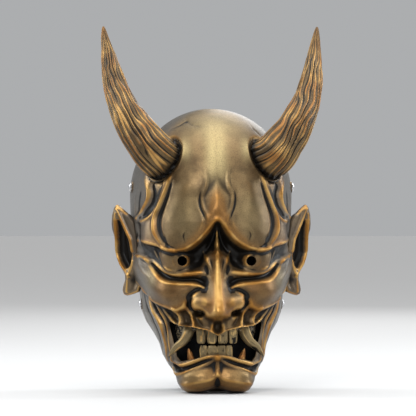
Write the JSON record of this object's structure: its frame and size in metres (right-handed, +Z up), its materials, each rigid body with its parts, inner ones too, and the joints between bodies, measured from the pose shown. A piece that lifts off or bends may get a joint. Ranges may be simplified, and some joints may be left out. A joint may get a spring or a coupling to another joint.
{
  "type": "horned demon mask",
  "caption": "Bronze-finished horned and fanged folklore demon mask with pupils backed by black mesh, set-in teeth, bolted horns, foam pads and two riveted elastic head straps with sliders",
  "frame": {"origin": "on the back plane of the mask, on the middle line, level with the pupils", "axes": "+Z up, -Y the way the face looks, +X towards the viewer's right when the viewer faces the mask"},
  "size_m": [0.2122, 0.146, 0.3489],
  "materials": {
    "cast_resin": "cast resin painted antique bronze, rubbed gold on the raised edges and dark in the hollows",
    "horn_resin": "cast resin painted antique gold over dark grooves",
    "tooth_resin": "cast resin painted dull grey gold",
    "rivet_steel": "bright steel",
    "plated_steel": "zinc plated steel",
    "elastic_webbing": "woven black elastic",
    "slider_plastic": "moulded black",
    "foam": "dark grey cloth-faced foam",
    "mesh_cloth": "matte black see-through mesh cloth, stiffened"
  },
  "bodies": {
    "mask": {"face_shell": "cast_resin", "left_horn": "horn_resin", "right_horn": "horn_resin", "left_horn_washer": "plated_steel", "right_horn_washer": "plated_steel", "left_horn_screw": "plated_steel", "right_horn_screw": "plated_steel", "upper_teeth": "tooth_resin", "lower_teeth": "tooth_resin", "left_temple_rivet": "rivet_steel", "right_temple_rivet": "rivet_steel", "left_jaw_rivet": "rivet_steel", "right_jaw_rivet": "rivet_steel", "left_temple_burr": "plated_steel", "right_temple_burr": "plated_steel", "left_jaw_burr": "plated_steel", "right_jaw_burr": "plated_steel", "forehead_pad": "foam", "left_cheek_pad": "foam", "right_cheek_pad": "foam", "chin_pad": "foam", "left_eye_screen": "mesh_cloth", "right_eye_screen": "mesh_cloth", "mouth_screen": "mesh_cloth"},
    "upper_strap": {"upper_strap": "elastic_webbing"},
    "upper_slider": {"upper_strap_slider": "slider_plastic"},
    "lower_strap": {"lower_strap": "elastic_webbing"},
    "lower_slider": {"lower_strap_slider": "slider_plastic"}
  },
  "joints": [
    {"name": "upper_strap_swing", "type": "hinge", "parent": "mask", "child": "upper_strap", "pos_m": [0, -0.016, 0.069], "axis": [1, 0, 0], "range_deg": [-8, 100]},
    {"name": "upper_slider_slide", "type": "slide", "parent": "upper_strap", "child": "upper_slider", "axis": [1, 0, 0], "range_m": [-0.024, 0.024]},
    {"name": "lower_strap_swing", "type": "hinge", "parent": "mask", "child": "lower_strap", "pos_m": [0, -0.016, -0.043], "axis": [1, 0, 0], "range_deg": [-25, 95]},
    {"name": "lower_slider_slide", "type": "slide", "parent": "lower_strap", "child": "lower_slider", "axis": [1, 0, 0], "range_m": [-0.012, 0.012]}
  ]
}
